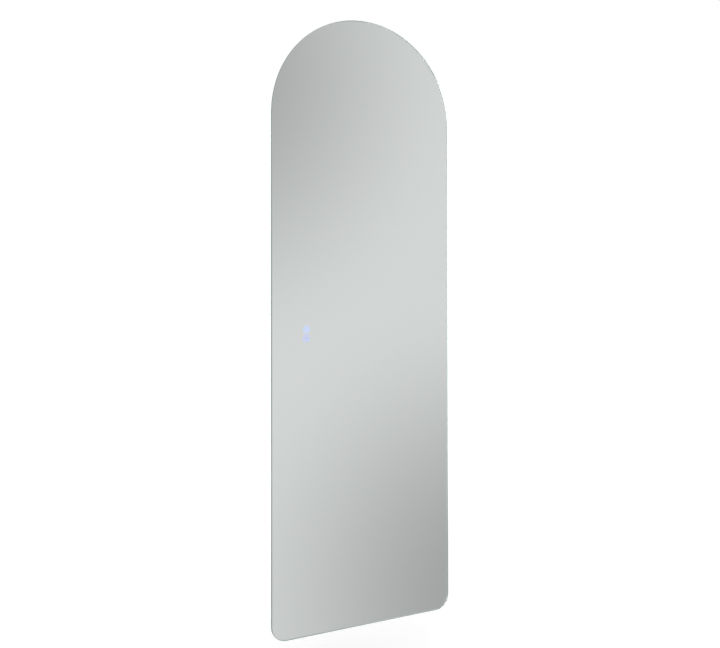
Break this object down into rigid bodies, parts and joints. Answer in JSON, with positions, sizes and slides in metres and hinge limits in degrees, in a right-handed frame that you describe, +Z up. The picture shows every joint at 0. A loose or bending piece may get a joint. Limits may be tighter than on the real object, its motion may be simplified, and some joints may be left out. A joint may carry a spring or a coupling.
{
  "type": "lighted bathroom mirror",
  "caption": "Tall frameless arched bathroom mirror, lit from behind, with blue touch marks, an anti-mist pad and hook-on wall rails.",
  "frame": {"origin": "on the wall plane, midway between the two screw holes of the upper wall rail", "axes": "+X to the viewer's right, +Y into the wall, +Z up; the mirror faces -Y and the wall is the plane Y = 0"},
  "size_m": [0.5, 0.036, 1.4998],
  "materials": {
    "glass": "polished clear float glass with a polished chamfer",
    "silver": "silvered mirror face, etched clear at the touch marks",
    "backing_film": "pale grey safety film",
    "mark_filter": "translucent blue, lit from behind",
    "foam_tape": "white acrylic foam tape",
    "frame_aluminium": "satin natural anodised extrusion",
    "plate_aluminium": "mill finish strip",
    "zinc_steel": "galvanised sheet steel",
    "zinc_screw": "bright zinc plated",
    "strip_board": "white flexible board",
    "led_chip": "phosphor chip",
    "opal": "opal diffusing plastic",
    "box_plastic": "white fine-grained flame-retardant plastic",
    "case_plastic": "black fine-grained plastic",
    "black_rubber": "black rubber",
    "driver_case": "light grey plastic case",
    "block_nylon": "natural nylon",
    "brass": "nickel-free brass",
    "lug_tin": "tinned copper",
    "board": "green soldermask board",
    "relay": "blue sealed relay",
    "black_foam": "black light-tight foam",
    "blue_chip": "blue light-emitting chip",
    "heater_foil": "clear film over a foil track",
    "lead_jacket": "white flexible jacket",
    "wire_jacket": "insulated single wires",
    "earth_jacket": "green and yellow striped jacket",
    "clip_nylon": "white nylon"
  },
  "bodies": {
    "wall_rails": {"wall_rail_upper": "zinc_steel", "wall_rail_lower": "zinc_steel"},
    "mirror": {"board_plugs": "block_nylon", "bonding_tape": "foam_tape", "box_grommets": "black_rubber", "box_lid": "box_plastic", "box_seal": "black_rubber", "box_tape": "foam_tape", "box_wires": "wire_jacket", "control_board": "board", "control_relays": "relay", "corner_bracket_left": "plate_aluminium", "corner_bracket_right": "plate_aluminium", "driver_box": "box_plastic", "earth_lead": "earth_jacket", "earth_lug": "lug_tin", "earth_screw": "zinc_screw", "feed_grommet": "black_rubber", "filter_heat": "mark_filter", "filter_light": "mark_filter", "frame_arch": "frame_aluminium", "frame_bottom": "frame_aluminium", "frame_screws": "zinc_screw", "frame_side_left": "frame_aluminium", "frame_side_right": "frame_aluminium", "hanger_nuts": "zinc_screw", "hanger_rail_lower": "zinc_steel", "hanger_rail_upper": "zinc_steel", "hanger_screws": "zinc_screw", "heater_joint": "box_plastic", "heater_lead": "lead_jacket", "heater_pad": "heater_foil", "led_chips": "led_chip", "led_driver": "driver_case", "led_strip": "strip_board", "lid_screws": "zinc_screw", "light_cover": "opal", "light_lead": "lead_jacket", "mirror_glass": "glass", "safety_film": "backing_film", "sensor_board": "board", "sensor_case": "case_plastic", "sensor_lead": "lead_jacket", "sensor_leds": "blue_chip", "sensor_mask": "black_foam", "sensor_plug": "block_nylon", "silver_coat": "silver", "splice_plate_left": "plate_aluminium", "splice_plate_right": "plate_aluminium", "strip_connector": "block_nylon", "supply_grommet": "black_rubber", "terminal_block": "block_nylon", "terminal_screws": "brass", "wall_bumpers": "black_rubber", "wire_clips": "clip_nylon"}
  },
  "joints": [
    {"name": "lift_off", "type": "slide", "parent": "wall_rails", "child": "mirror", "axis": [0, 0, 1], "range_m": [0, 0.02]}
  ]
}
